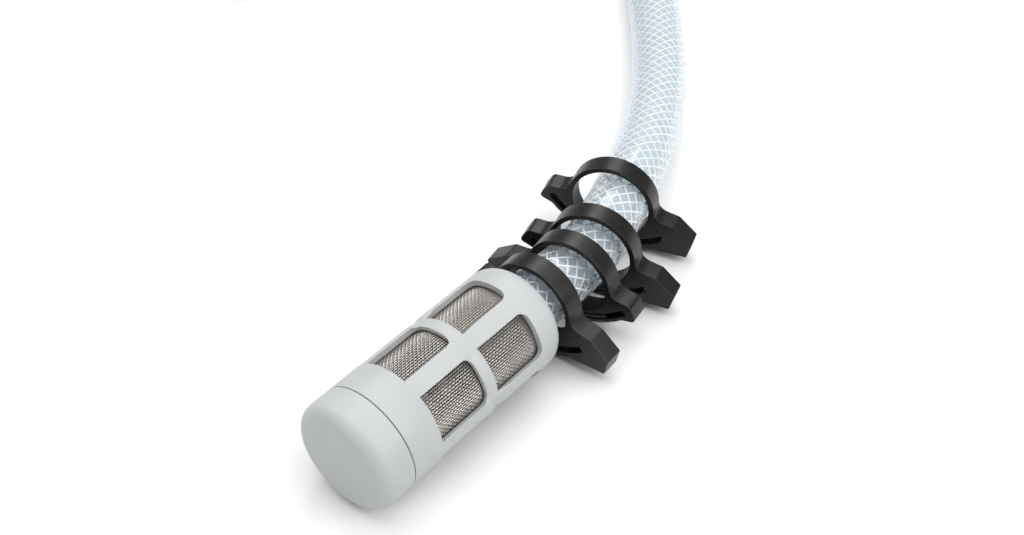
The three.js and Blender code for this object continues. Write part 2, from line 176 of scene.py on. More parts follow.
def make_object(bm, name, *materials, crease=40):
    """A smooth-shaded object, sharp where its faces meet at more than the crease's degrees."""
    mesh = bpy.data.meshes.new(name)
    for e in bm.edges:
        e.smooth = e.calc_face_angle(0) < math.radians(crease)
    bm.to_mesh(mesh)
    bm.free()
    for material in materials:
        mesh.materials.append(material)
    mesh.polygons.foreach_set("use_smooth", [True] * len(mesh.polygons))
    made = bpy.data.objects.new(name, mesh)
    bpy.context.collection.objects.link(made)
    return made


def new_material(name):
    material = bpy.data.materials.new(name)
    material.use_nodes = True
    nodes = material.node_tree.nodes
    return material, nodes, material.node_tree.links, nodes["Principled BSDF"]


def link_up(links, *pairs):
    for outlet, inlet in pairs:
        links.new(outlet, inlet)


def grain_group():
    """Light and dark tones in slow patches, with a fine grain in the roughness and the relief."""
    group = bpy.data.node_groups.new("surface_grain", "ShaderNodeTree")
    face = group.interface
    for name, kind, value in (
        ("Grain scale", "NodeSocketFloat", 900.0), ("Tone scale", "NodeSocketFloat", 60.0),
        ("Depth", "NodeSocketFloat", 0.1), ("Light", "NodeSocketColor", (1, 1, 1, 1)),
        ("Dark", "NodeSocketColor", (0.8, 0.8, 0.8, 1)), ("Smoothest", "NodeSocketFloat", 0.3),
        ("Roughest", "NodeSocketFloat", 0.5),
    ):
        socket = face.new_socket(name, in_out="INPUT", socket_type=kind)
        socket.default_value = value
    face.new_socket("Color", in_out="OUTPUT", socket_type="NodeSocketColor")
    face.new_socket("Roughness", in_out="OUTPUT", socket_type="NodeSocketFloat")
    face.new_socket("Normal", in_out="OUTPUT", socket_type="NodeSocketVector")
    nodes, links = group.nodes, group.links
    inside, out = nodes.new("NodeGroupInput"), nodes.new("NodeGroupOutput")
    place = nodes.new("ShaderNodeTexCoord")
    grain, tone = nodes.new("ShaderNodeTexNoise"), nodes.new("ShaderNodeTexNoise")
    grain.inputs["Detail"].default_value = 3
    tone.inputs["Detail"].default_value = 4
    colour = nodes.new("ShaderNodeMix")
    colour.data_type = "RGBA"
    rough = nodes.new("ShaderNodeMapRange")
    bump = nodes.new("ShaderNodeBump")
    bump.inputs["Distance"].default_value = 0.0002
    link_up(
        links,
        (place.outputs["Object"], grain.inputs["Vector"]),
        (place.outputs["Object"], tone.inputs["Vector"]),
        (inside.outputs["Grain scale"], grain.inputs["Scale"]),
        (inside.outputs["Tone scale"], tone.inputs["Scale"]),
        (tone.outputs["Fac"], colour.inputs["Factor"]),
        (inside.outputs["Light"], colour.inputs["A"]),
        (inside.outputs["Dark"], colour.inputs["B"]),
        (grain.outputs["Fac"], rough.inputs["Value"]),
        (inside.outputs["Smoothest"], rough.inputs["To Min"]),
        (inside.outputs["Roughest"], rough.inputs["To Max"]),
        (grain.outputs["Fac"], bump.inputs["Height"]),
        (inside.outputs["Depth"], bump.inputs["Strength"]),
        (colour.outputs["Result"], out.inputs["Color"]),
        (rough.outputs["Result"], out.inputs["Roughness"]),
        (bump.outputs["Normal"], out.inputs["Normal"]),
    )
    return group


GRAIN = grain_group()


def grained(name, light, dark, smoothest, roughest, grain=900, tone=60, depth=0.1, **sockets):
    """A material with the surface grain. Values given by socket are set on the shader itself."""
    material, nodes, links, shader = new_material(name)
    group = nodes.new("ShaderNodeGroup")
    group.node_tree = GRAIN
    for socket, value in (
        ("Grain scale", grain), ("Tone scale", tone), ("Depth", depth), ("Light", (*light, 1)),
        ("Dark", (*dark, 1)), ("Smoothest", smoothest), ("Roughest", roughest),
    ):
        group.inputs[socket].default_value = value
    for socket, value in sockets.items():
        shader.inputs[socket.replace("_", " ")].default_value = value
    link_up(
        links,
        (group.outputs["Color"], shader.inputs["Base Color"]),
        (group.outputs["Roughness"], shader.inputs["Roughness"]),
        (group.outputs["Normal"], shader.inputs["Normal"]),
    )
    return material


WALL_HAZE, WALL_MOST = 0.14, 0.5    # how much the clear wall hides, face on and at its edges


def clear_wall():
    """The outer layer is clear with a slight haze, and hides more towards its edges."""
    material = grained("clear_pvc", (0.84, 0.89, 0.93), (0.78, 0.84, 0.89), 0.05, 0.16, grain=350,
                       depth=0.05, Metallic=0.4)
    nodes, links = material.node_tree.nodes, material.node_tree.links
    fresnel = nodes.new("ShaderNodeFresnel")
    fresnel.inputs["IOR"].default_value = 1.5
    haze, limit = nodes.new("ShaderNodeMath"), nodes.new("ShaderNodeMath")
    haze.inputs[1].default_value = WALL_HAZE
    limit.operation = "MINIMUM"
    limit.inputs[1].default_value = WALL_MOST
    link_up(links, (fresnel.outputs["Fac"], haze.inputs[0]), (haze.outputs["Value"], limit.inputs[0]),
            (limit.outputs["Value"], nodes["Principled BSDF"].inputs["Alpha"]))
    return material


def milky_bore():
    """The inner layer is milky and bluish, a little clearer in some places than in others."""
    material = grained("milky_pvc", (0.71, 0.79, 0.83), (0.6, 0.7, 0.76), 0.2, 0.4, grain=200, tone=90,
                       depth=0.05)
    nodes, links = material.node_tree.nodes, material.node_tree.links
    place, cloud = nodes.new("ShaderNodeTexCoord"), nodes.new("ShaderNodeTexNoise")
    cloud.inputs["Scale"].default_value = 120
    haze = nodes.new("ShaderNodeMapRange")
    haze.inputs["To Min"].default_value, haze.inputs["To Max"].default_value = 0.45, 0.65
    link_up(links, (place.outputs["Object"], cloud.inputs["Vector"]),
            (cloud.outputs["Fac"], haze.inputs["Value"]),
            (haze.outputs["Result"], nodes["Principled BSDF"].inputs["Alpha"]))
    return material


def straight_tube(radius, sides, bm):
    """An open tube along +X with a ring at every station of the hose."""
    ring = bmesh.ops.create_circle(
        bm, segments=sides, radius=radius, matrix=Matrix.Rotation(math.pi / 2, 4, "Y"))["verts"]
    edges = list({e for v in ring for e in v.link_edges})
    bmesh.ops.spin(bm, geom=ring + edges, cent=(0, 0, 0), axis=(1, 0, 0), dvec=(STEP, 0, 0), angle=0,
                   steps=len(hose_line) - 1, use_merge=False, use_normal_flip=False, use_duplicate=False)


bm = bmesh.new()
straight_tube(HOSE_RADIUS, HOSE_SIDES, bm)
straight_tube(HOSE_BORE, HOSE_SIDES, bm)
open_ends = [e for e in bm.edges if e.is_boundary]
for end in (0, HOSE_LENGTH):
    at_end = [e for e in open_ends if abs(e.verts[0].co.x - end) < STEP / 2]
    bmesh.ops.bridge_loops(bm, edges=at_end)
bmesh.ops.recalc_face_normals(bm, faces=bm.faces)
for f in bm.faces:
    middle = f.calc_center_median()
    f.material_index = 1 if math.hypot(middle.y, middle.z) < (HOSE_RADIUS + HOSE_BORE) / 2 else 0
lay_along_hose(bm)
hose = make_object(bm, "hose_wall", clear_wall(), milky_bore())
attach(hose, "strainer")
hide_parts("hose", "hose_coil")

# ------------------------------------------------------------------ hose braid
# Two sets of flat white polyester yarns, wound one over the other at opposite hands and buried in the
# wall, which make the diamonds that show through the clear outer layer.

YARNS = 14                      # in each set
YARN_LEAD = 64 * MM             # one turn of a yarn
YARN_STEPS = 22                 # in one turn
YARN_HALF_WIDTH = 0.4 * MM
YARN_HALF_THICK = 0.13 * MM
OVER_R, UNDER_R = 9.4 * MM, 9.1 * MM

yarn_white = grained("braid_yarn", (0.82, 0.86, 0.89), (0.71, 0.76, 0.8), 0.35, 0.6, grain=2500,
                     tone=400, depth=0.3)


def braid(name, radius, hand):
    """One set of yarns, wound right-handed for a hand of 1 and left-handed for -1."""
    turns = HOSE_LENGTH / YARN_LEAD
    steps = round(turns * YARN_STEPS)
    bm = bmesh.new()
    section = [bm.verts.new((x, radius + r, 0)) for x, r in (
        (-YARN_HALF_WIDTH, 0), (0, YARN_HALF_THICK), (YARN_HALF_WIDTH, 0), (0, -YARN_HALF_THICK))]
    edges = [bm.edges.new((a, b)) for a, b in zip(section, section[1:] + section[:1])]
    bmesh.ops.spin(bm, geom=section + edges, cent=(0, 0, 0), axis=(1, 0, 0),
                   dvec=(HOSE_LENGTH / steps, 0, 0), angle=hand * 2 * math.pi * turns, steps=steps,
                   use_merge=False, use_normal_flip=False, use_duplicate=False)
    bmesh.ops.holes_fill(bm, edges=[e for e in bm.edges if e.is_boundary], sides=4)
    bmesh.ops.recalc_face_normals(bm, faces=bm.faces)
    bmesh.ops.spin(bm, geom=bm.verts[:] + bm.edges[:] + bm.faces[:], cent=(0, 0, 0), axis=(1, 0, 0),
                   angle=2 * math.pi * (YARNS - 1) / YARNS, steps=YARNS - 1, use_merge=False,
                   use_normal_flip=False, use_duplicate=True)
    lay_along_hose(bm)
    made = make_object(bm, name, yarn_white)
    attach(made, "strainer")
    return made


braid_over = braid("hose_braid_over", OVER_R, 1)
braid_under = braid("hose_braid_under", UNDER_R, -1)

# ------------------------------------------------------------------ floor and light
# A plain white table under a large soft lamp. Smaller ones stand in front, behind and on either side to
# draw the edges, and a dim white room fills the shadows.

TABLE_HALF = 3
TABLE_DROP = 0.2 * MM           # it lies this far under the pieces
ROOM_LIGHT = 0.26
LAMPS = {                       # where each stands, its size and its power
    "top": ((0.15, 0.0, 1.0), 1.3, 12.5),
    "left": ((0.1, 0.9, 0.5), 0.6, 2.5),
    "right": ((0.25, -0.85, 0.6), 0.7, 6.8),
    "behind": ((0.8, 0.55, 0.9), 0.5, 2.6),
    "front": ((-0.95, 0.1, 0.5), 0.6, 3.2),
}
LIT_SPOT = Vector((0, 0, 0.02))


def floor_and_lamps():
    bm = bmesh.new()
    bmesh.ops.create_grid(bm, x_segments=1, y_segments=1, size=TABLE_HALF,
                          matrix=Matrix.Translation((0, 0, -TABLE_DROP)))
    white = grained("table_white", (0.77, 0.77, 0.77), (0.76, 0.76, 0.76), 0.7, 0.8, grain=40, tone=5,
                    depth=0)
    floor = make_object(bm, "floor", white)
    world = bpy.context.scene.world or bpy.data.worlds.new("world")
    bpy.context.scene.world = world
    world.use_nodes = True
    room = world.node_tree.nodes["Background"]
    room.inputs["Color"].default_value = (1, 1, 1, 1)
    room.inputs["Strength"].default_value = ROOM_LIGHT
    for name, (place, size, power) in LAMPS.items():
        lamp = bpy.data.lights.new(name, "AREA")
        lamp.shape, lamp.size, lamp.energy = "SQUARE", size, power
        holder = bpy.data.objects.new(name, lamp)
        holder.location = place
        holder.rotation_euler = (LIT_SPOT - Vector(place)).to_track_quat("-Z", "Y").to_euler()
        bpy.context.collection.objects.link(holder)
    bpy.context.scene.view_settings.view_transform = "Standard"


floor_and_lamps()

# ------------------------------------------------------------------ end cap
# Injection-moulded grey cap that closes the strainer. Its skirt plugs into the cage as far as the thin
# seam line round the body, and its front edge is well rounded for pushing through silt.

STRAINER_R = 17
CAP_L = 11.2
CAP_EDGE = 4.6
SKIRT_R = 14.7
SKIRT_END = 16.7
SKIRT_BORE = 12.5
CAP_WALL = 2.2
SEAM_R, SEAM_END = 16.4, 11.42  # the shallow groove where the cap meets the cage

grey_plastic = grained("grey_plastic", (0.405, 0.42, 0.422), (0.37, 0.386, 0.389), 0.42, 0.56,
                       grain=1400, tone=45, depth=0.12)


def arc(centre, radius, start, end, steps):
    """Points of a profile on an arc: [along the strainer, from its axis], angles in degrees."""
    turns = [math.radians(start + (end - start) * k / steps) for k in range(steps + 1)]
    return [(centre[0] + radius * math.cos(t), centre[1] + radius * math.sin(t)) for t in turns]


def turned(profile, sides, closed=True):
    """A body turned about the strainer's axis from its half section, in mm from the cap's face."""
    bm = bmesh.new()
    points = [bm.verts.new((CAP_FACE.x + x * MM, AXIS_Y + r * MM, AXIS_Z)) for x, r in profile]
    pairs = list(zip(points, points[1:])) + ([(points[-1], points[0])] if closed else [])
    edges = [bm.edges.new(pair) for pair in pairs]
    bmesh.ops.spin(bm, geom=points + edges, cent=(0, AXIS_Y, AXIS_Z), axis=(1, 0, 0), angle=2 * math.pi,
                   steps=sides, use_merge=True, use_normal_flip=False, use_duplicate=False)
    bmesh.ops.remove_doubles(bm, verts=bm.verts, dist=0.001 * MM)
    bmesh.ops.recalc_face_normals(bm, faces=bm.faces)
    return bm


def soften_edges(made, width, segments=3, least=35):
    """Rounds every edge where faces meet at more than the least angle, in degrees."""
    edge = made.modifiers.new("edges", "BEVEL")
    edge.width, edge.segments, edge.profile = width, segments, 0.5
    edge.limit_method, edge.angle_limit = "ANGLE", math.radians(least)
    edge.harden_normals = True
    edge.use_clamp_overlap = True


def place_on(made, body, slot, *nodes):
    """Fixes a piece to its body and hides the solids it stands for. The slot argument is not used."""
    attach(made, body)
    if nodes:
        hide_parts(*nodes)


cap = make_object(turned([
    (0, 0), (0, 4), (0, 8), *arc((CAP_EDGE, STRAINER_R - CAP_EDGE), CAP_EDGE, 180, 90, 12),
    (CAP_L, STRAINER_R), (CAP_L, SEAM_R), (SEAM_END, SEAM_R), (SEAM_END, SKIRT_R),
    (SKIRT_END, SKIRT_R), (SKIRT_END, SKIRT_BORE),
    (CAP_WALL * 2, SKIRT_BORE), (CAP_WALL, SKIRT_BORE - CAP_WALL), (CAP_WALL, 0),
], 96, closed=False), "strainer_cap", grey_plastic)
soften_edges(cap, 0.3 * MM)
place_on(cap, "cap", "grey_plastic", "end_cap")

# ------------------------------------------------------------------ cage
# The strainer's moulded cage: a collar, five ribs, a slightly sunk ring half way, and a solid far end
# with a hole for the hose tail. Ten windows between them let the water through the screen.

CAGE_START = 11.5
CAGE_BORE = 15.0
RIB_R = 16.85
COLLAR_END = 22.3
WINDOWS = [(COLLAR_END, 41.3), (45.4, 64.0)]
WINDOW_HALF = 7.4
CORNER = 2.6
CORNER_LINE = 1.2               # the line inside each edge that helps to round the corner
RIM_EDGE = 5.5
CAGE_END = 74.4
END_WALL = 68.0
TAIL_HOLE = 7.3
WINDOW_TURN = 149               # first window's middle, in degrees from +Y towards +Z
PITCH = 72
RING_HUMP = [(41.3, 16.2), (42.1, 16.44), (43.35, 16.52), (44.6, 16.44), (45.4, 16.2)]

# Lines along the cage: across a window by distance from its middle, then over the rib by share.
HALF_ACROSS = [1.6, 3.2, WINDOW_HALF - CORNER, WINDOW_HALF - CORNER_LINE, WINDOW_HALF]
ACROSS = [-y for y in reversed(HALF_ACROSS)] + [0] + HALF_ACROSS
OVER_RIB = [0.055, 0.275, 0.5, 0.725, 0.945]
LINES = len(ACROSS) + len(OVER_RIB)
COLUMNS = LINES * 5


def line_turns(radius):
    """Where a pitch's lines are at this radius, in degrees from the window's middle."""
    window = [math.degrees(math.asin(y / radius)) for y in ACROSS]
    rib = PITCH - 2 * window[-1]
    return window + [window[-1] + rib * share for share in OVER_RIB]


def corner_turn(x, side, end):
    """How far round a window's corner this crossing of lines belongs, in degrees, or None."""
    on_end, on_side = abs(x - end) < 0.01, abs(side - WINDOW_HALF) < 0.01
    by_end = abs(x - (end - CORNER_LINE)) < 0.01
    by_side = abs(side - (WINDOW_HALF - CORNER_LINE)) < 0.01
    if on_end and on_side:
        return 45
    if by_end and on_side:
        return 22.5
    if on_end and by_side:
        return 67.5
    return None


def cage():
    rows = []
    for start, end in WINDOWS:
        rows += [start, start + 4, start + 8, start + 12, end - CORNER, end - CORNER_LINE, end]
    hump = [x for x, r in RING_HUMP[1:4]]
    outside = [(x, RIB_R) for x in rows[1:7]] + RING_HUMP[1:4] + [(x, RIB_R) for x in rows[7:]]
    inside = [(x, CAGE_BORE) for x in reversed([*rows[:7], *hump, *rows[7:]])]
    bm = turned([
        (CAGE_START, CAGE_BORE), (CAGE_START, STRAINER_R), (COLLAR_END - 0.3, STRAINER_R),
        (COLLAR_END, RIB_R), *outside,
        *arc((CAGE_END - RIM_EDGE, RIB_R - RIM_EDGE), RIM_EDGE, 90, 0, 9), (CAGE_END, TAIL_HOLE),
        (END_WALL, TAIL_HOLE), (END_WALL, CAGE_BORE), *inside,
    ], COLUMNS)
    ring_r = dict(RING_HUMP)
    turns_out, turns_in = line_turns(STRAINER_R), line_turns(CAGE_BORE)
    column = bm.verts.layers.int.new("column")
    for v in bm.verts:
        y, z = v.co.y - AXIS_Y, v.co.z - AXIS_Z
        x, r = (v.co.x - CAP_FACE.x) / MM, math.hypot(y, z) / MM
        k = round(math.atan2(z, y) / (2 * math.pi) * COLUMNS) % COLUMNS
        pitch, line = divmod(k, LINES)
        v[column] = k
        outer = r > CAGE_BORE + 0.5
        turn = (turns_out if outer or r < CAGE_BORE - 0.5 else turns_in)[line]
        if line < len(ACROSS) and outer:
            r = ring_r.get(round(x, 2), r)
        if line < len(ACROSS) and r > CAGE_BORE - 0.5:
            for _, end in WINDOWS:
                corner = corner_turn(x, abs(ACROSS[line]), end)
                if corner:
                    x = end - CORNER + CORNER * math.sin(math.radians(corner))
                    across = WINDOW_HALF - CORNER + CORNER * math.cos(math.radians(corner))
                    at_wall = STRAINER_R if outer else CAGE_BORE
                    turn = math.degrees(math.asin(math.copysign(across, ACROSS[line]) / at_wall))
                    break
        a = math.radians(WINDOW_TURN + PITCH * pitch + turn)
        v.co = (CAP_FACE.x + x * MM, AXIS_Y + r * MM * math.cos(a), AXIS_Z + r * MM * math.sin(a))

    def window_of(item):
        """The row and number of the window that a face or an edge lies in, or None."""
        lines = sorted({v[column] for v in item.verts})
        if lines[-1] - lines[0] > COLUMNS / 2:
            return None
        number, line = divmod(lines[0], LINES)
        if line + (lines[-1] - lines[0]) >= len(ACROSS):
            return None
        middle = sum((v.co.x - CAP_FACE.x) / MM for v in item.verts) / len(item.verts)
        for row, (start, end) in enumerate(WINDOWS):
            if start - 0.05 < middle < end + 0.05:
                return row, number
        return None

    def in_wall(item):
        return min(math.hypot(v.co.y - AXIS_Y, v.co.z - AXIS_Z) for v in item.verts) > (CAGE_BORE - 0.5) * MM

    panes = [f for f in bm.faces if window_of(f) and in_wall(f) and len({v[column] for v in f.verts}) > 1]
    bmesh.ops.delete(bm, geom=panes, context="FACES")
    rims = {}
    for e in bm.edges:
        if e.is_boundary:
            rims.setdefault(window_of(e), []).append(e)
    for edges in rims.values():
        bmesh.ops.bridge_loops(bm, edges=edges)
    bmesh.ops.recalc_face_normals(bm, faces=bm.faces)
    return bm


cage_piece = make_object(cage(), "strainer_cage_moulding", grey_plastic)
soften_edges(cage_piece, 0.45 * MM)
place_on(cage_piece, "strainer", "grey_plastic", "strainer_cage")

# ------------------------------------------------------------------ screen
# Plain-weave stainless cloth, rolled to a tube that lines the cage. The wires along the strainer and
# those round it pass over and under each other at every crossing.

SCREEN_R = 14.5 * MM
WIRE_R = 0.135 * MM
WAVE = 0.13 * MM
WIRES_ALONG = 120
SCREEN_START, SCREEN_END = 17.1 * MM, 67.6 * MM
WIRES_ROUND = 67
WIRE_SIDES = 6
ring_gap = (SCREEN_END - SCREEN_START) / WIRES_ROUND

steel_wire = grained("stainless_wire", (0.58, 0.55, 0.52), (0.43, 0.4, 0.37), 0.2, 0.4, grain=3000,
                     tone=300, depth=0.15, Metallic=0.85)


def paint_shade_inside():
    """The wires keep their own colour where they face outwards, and get a painted shade of dark brown where
    they face inwards, standing in for the dim light inside the screen.
    """
    nodes, links = steel_wire.node_tree.nodes, steel_wire.node_tree.links
    shader = nodes["Principled BSDF"]
    own_colour = shader.inputs["Base Color"].links[0].from_socket
    facing = nodes.new("ShaderNodeAttribute")
    facing.attribute_name = "outward"
    painted_shade = nodes.new("ShaderNodeMix")
    painted_shade.data_type = "RGBA"
    # painted shade: the dark brown given to the inward-facing sides of the wires
    painted_shade.inputs["A"].default_value = (0.035, 0.027, 0.022, 1)
    link_up(links, (facing.outputs["Fac"], painted_shade.inputs["Factor"]), (own_colour, painted_shade.inputs["B"]),
            (painted_shade.outputs["Result"], shader.inputs["Base Color"]))


def mark_outward(bm):
    """Marks each wire with 1 where it faces outwards, down to 0 inside; the material paints shade where this
    is low.
    """
    outward = bm.verts.layers.float.new("outward")
    bm.normal_update()
    for v in bm.verts:
        out = Vector((0, v.co.y - AXIS_Y, v.co.z - AXIS_Z)).normalized()
        # mask for the painted shade: 1 facing outwards, 0 facing inwards
        v[outward] = min(max(v.normal.dot(out) * 1.6 + 0.35, 0), 1)
    return bm


# The wires' inward-facing sides get painted shade.
paint_shade_inside()


def screen_wires_along():
    """Two waved wires side by side, then as many pairs as go round."""
    bm = bmesh.new()
    for phase in (0, 1):
        ring = bmesh.ops.create_circle(
            bm, segments=WIRE_SIDES, radius=WIRE_R, matrix=Matrix.Translation(
                (CAP_FACE.x + SCREEN_START + ring_gap / 2, AXIS_Y + SCREEN_R, AXIS_Z))
            @ Matrix.Rotation(math.pi / 2, 4, "Y"))["verts"]
        edges = list({e for v in ring for e in v.link_edges})
        bmesh.ops.spin(
            bm, geom=ring + edges, cent=(0, 0, 0), axis=(1, 0, 0), dvec=(ring_gap, 0, 0), angle=0,
            steps=WIRES_ROUND - 1, use_merge=False, use_normal_flip=False, use_duplicate=False)
        wire = [v for v in bm.verts if not v.tag]
        for v in wire:
            crossing = round((v.co.x - CAP_FACE.x - SCREEN_START) / ring_gap - 0.5)
            v.co.y += WAVE * (1 if (crossing + phase) % 2 else -1)
            v.tag = True
        bmesh.ops.rotate(bm, verts=wire, cent=(0, AXIS_Y, AXIS_Z), matrix=Matrix.Rotation(
            phase * 2 * math.pi / WIRES_ALONG, 3, "X"))
    bmesh.ops.holes_fill(bm, edges=[e for e in bm.edges if e.is_boundary], sides=WIRE_SIDES)
    bmesh.ops.recalc_face_normals(bm, faces=bm.faces)
    pairs = WIRES_ALONG // 2
    bmesh.ops.spin(bm, geom=bm.verts[:] + bm.edges[:] + bm.faces[:], cent=(0, AXIS_Y, AXIS_Z),
                   axis=(1, 0, 0), angle=2 * math.pi * (pairs - 1) / pairs, steps=pairs - 1,
                   use_merge=False, use_normal_flip=False, use_duplicate=True)
    return bm


def screen_wires_round():
    """Two waved rings side by side, then pairs of them to the screen's end."""
    bm = bmesh.new()
    for phase in (0, 1):
        ring = bmesh.ops.create_circle(
            bm, segments=WIRE_SIDES, radius=WIRE_R, matrix=Matrix.Translation(
                (CAP_FACE.x + SCREEN_START + ring_gap * (0.5 + phase), AXIS_Y + SCREEN_R, AXIS_Z)))["verts"]
        edges = list({e for v in ring for e in v.link_edges})
        bmesh.ops.spin(bm, geom=ring + edges, cent=(0, AXIS_Y, AXIS_Z), axis=(1, 0, 0),
                       angle=2 * math.pi, steps=WIRES_ALONG, use_merge=True, use_normal_flip=False,
                       use_duplicate=False)
        for v in [v for v in bm.verts if not v.tag]:
            out = Vector((0, v.co.y - AXIS_Y, v.co.z - AXIS_Z))
            crossing = round(math.atan2(out.z, out.y) / (2 * math.pi) * WIRES_ALONG)
            v.co += out.normalized() * WAVE * (-1 if (crossing + phase) % 2 else 1)
            v.tag = True
    bmesh.ops.remove_doubles(bm, verts=bm.verts, dist=0.001 * MM)
    bmesh.ops.recalc_face_normals(bm, faces=bm.faces)
    first = bm.verts[:] + bm.edges[:] + bm.faces[:]
    for pair in range(1, WIRES_ROUND // 2 + 1):
        copy = bmesh.ops.duplicate(bm, geom=first)["geom"]
        bmesh.ops.translate(bm, vec=(2 * pair * ring_gap, 0, 0),
                            verts=[v for v in copy if isinstance(v, bmesh.types.BMVert)])
    past = [v for v in bm.verts if v.co.x > CAP_FACE.x + SCREEN_END]
    bmesh.ops.delete(bm, geom=past, context="VERTS")
    return bm


wires_along = make_object(mark_outward(screen_wires_along()), "screen_wires_along", steel_wire)
wires_round = make_object(mark_outward(screen_wires_round()), "screen_wires_round", steel_wire)
place_on(wires_along, "strainer", "steel_cloth", "mesh_screen")
place_on(wires_round, "strainer", "steel_cloth")

# ------------------------------------------------------------------ hose tail and its seal
# The moulded tail goes out through the cage's far end from inside. Its flange bears on the end wall
# with a rubber ring between them, and four barbs grip the hose pushed over it.

TAIL_START, TAIL_END = 64.5, 93.4
TAIL_BORE = 4.2
FLANGE_R, FLANGE_END = 11.5, 67.7
SHANK_R, SHANK_END = 7, 74.1
FIRST_BARB, BARB_PITCH, BARBS = 75.0, 4.6, 4
BARB_R, BARB_ROOT = 6.05, 5.4
BARB_TOP = 0.8                  # the flat on a barb's top
BARB_GAP = 0.2                  # from a barb's end to the next one

tail_plastic = grained("tail_plastic", (0.5, 0.49, 0.56), (0.42, 0.41, 0.48), 0.3, 0.45, grain=1400,
                       tone=80, depth=0.1)
black_rubber = grained("black_rubber", (0.02, 0.02, 0.021), (0.032, 0.031, 0.03), 0.6, 0.8, grain=2500,
                       tone=200, depth=0.3)


def barbed_tail():
    barbs = []
    for k in range(BARBS):
        foot = FIRST_BARB + BARB_PITCH * k
        barbs += [(foot, BARB_ROOT), (foot, BARB_R), (foot + BARB_TOP, BARB_R),
                  (foot + BARB_PITCH - BARB_GAP, BARB_ROOT)]
    return turned([
        (TAIL_START, TAIL_BORE), (TAIL_START, FLANGE_R), (FLANGE_END, FLANGE_R), (FLANGE_END, SHANK_R),
        (SHANK_END, SHANK_R), (CAGE_END, BARB_ROOT), *barbs, (TAIL_END, BARB_ROOT), (TAIL_END, TAIL_BORE),
    ], 64)


tail = make_object(barbed_tail(), "hose_tail_barbs", tail_plastic)
soften_edges(tail, 0.15 * MM, 2)
place_on(tail, "strainer", "hose_tail", "hose_tail")


def rubber_ring(node, body):
    """A round ring about the strainer's axis, as thick and as wide as its own solid."""
    low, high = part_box(node)
    half = (high.x - low.x) / 2 / MM
    section_at = ((low.x + high.x) / 2 - CAP_FACE.x) / MM, (high.z - AXIS_Z) / MM - half
    ring = make_object(turned(arc(section_at, half, 0, 330, 11), 72), f"{node}_ring", black_rubber)
    place_on(ring, body, "rubber", node)


rubber_ring("tail_seal", "strainer")
rubber_ring("poppet_seal", "poppet")

# ------------------------------------------------------------------ check valve
# A spring-loaded poppet inside the strainer keeps the hose full when the pump stops. Its body ends on the
# tail's flange, a three-armed guide holds the stem, and a light steel spring closes it.

BODY_START, BODY_END = 45.2, 64.2
BODY_R, BODY_BORE = 10, 8.2
BODY_EDGE = 1.2
SEAT_R, SEAT_EDGE = 4.6, 0.8
SEAT_WALL = 1.6
HEAD_START, HEAD_END = 45.8, 50.7
HEAD_LIP, HEAD_LIP_R = 48.9, 6.4
PLUG_R, PLUG_TIP_R = 3.4, 2.2
PLUG_TIP = 1.2
STEM_R, STEM_END = 1.4, 64.5
GUIDE_START, GUIDE_END = 61.8, 64.2
RIM_IN, RIM_OUT = 6.5, 7.9
HUB_IN, HUB_OUT = 1.7, 3.1
ARM = Vector((2, 3.7, 1.2))
ARM_OUT = 4.8                   # an arm's middle, from the axis

valve_plastic = grained("valve_plastic", (0.045, 0.045, 0.047), (0.03, 0.03, 0.032), 0.35, 0.5,
                        grain=1500, tone=90, depth=0.1)
valve_body = make_object(turned([
    (BODY_START, SEAT_R), (BODY_START, BODY_R - BODY_EDGE), (BODY_START + BODY_EDGE, BODY_R),
    (BODY_END, BODY_R), (BODY_END, BODY_BORE), (BODY_START + SEAT_WALL + SEAT_EDGE, BODY_BORE),
    (BODY_START + SEAT_WALL + SEAT_EDGE, SEAT_R + SEAT_EDGE), (BODY_START + SEAT_WALL, SEAT_R),
], 72), "valve_body_shell", valve_plastic)
soften_edges(valve_body, 0.2 * MM, 2)
place_on(valve_body, "strainer", "valve_plastic", "valve_body")

poppet = make_object(turned([
    (HEAD_START, 0), (HEAD_START, PLUG_TIP_R), (HEAD_START + PLUG_TIP, PLUG_R), (HEAD_LIP, PLUG_R + 0.2),
    (HEAD_LIP, HEAD_LIP_R), (HEAD_END, HEAD_LIP_R), (HEAD_END, STEM_R), (STEM_END, STEM_R), (STEM_END, 0),
], 64, closed=False), "poppet_head_and_stem", valve_plastic)
soften_edges(poppet, 0.18 * MM, 2)
place_on(poppet, "poppet", "valve_plastic", "poppet")


def guide():
    """A rim, a hub round the stem, and three arms between them."""
    def ring(inner, outer, sides):
        start, end = GUIDE_START, GUIDE_END
        return turned([(start, inner), (start, outer), (end, outer), (end, inner)], sides)

    bm, hub = ring(RIM_IN, RIM_OUT, 72), ring(HUB_IN, HUB_OUT, 48)
    spare = bpy.data.meshes.new("hub")
    hub.to_mesh(spare)
    hub.free()
    bm.from_mesh(spare)
    bpy.data.meshes.remove(spare)
    middle = Vector((CAP_FACE.x + (GUIDE_START + GUIDE_END) / 2 * MM, AXIS_Y + ARM_OUT * MM, AXIS_Z))
    for k in range(3):
        arm = bmesh.ops.create_cube(bm, size=1)["verts"]
        bmesh.ops.scale(bm, vec=ARM * MM, verts=arm)
        bmesh.ops.translate(bm, vec=middle, verts=arm)
        bmesh.ops.rotate(bm, verts=arm, cent=(0, AXIS_Y, AXIS_Z),
                         matrix=Matrix.Rotation(2 * math.pi * k / 3, 3, "X"))
    return bm


stem_guide = make_object(guide(), "stem_guide", valve_plastic)
soften_edges(stem_guide, 0.15 * MM, 2)
place_on(stem_guide, "strainer", "valve_plastic", "valve_guide")

spring_steel = grained("spring_steel", (0.7, 0.7, 0.72), (0.55, 0.55, 0.57), 0.18, 0.3, grain=3000,
                       tone=300, depth=0.1, Metallic=1.0)
SPRING = {"start": 51.35, "end": 61.15, "radius": 3.6, "wire": 0.35, "turns": 5, "steps": 28}


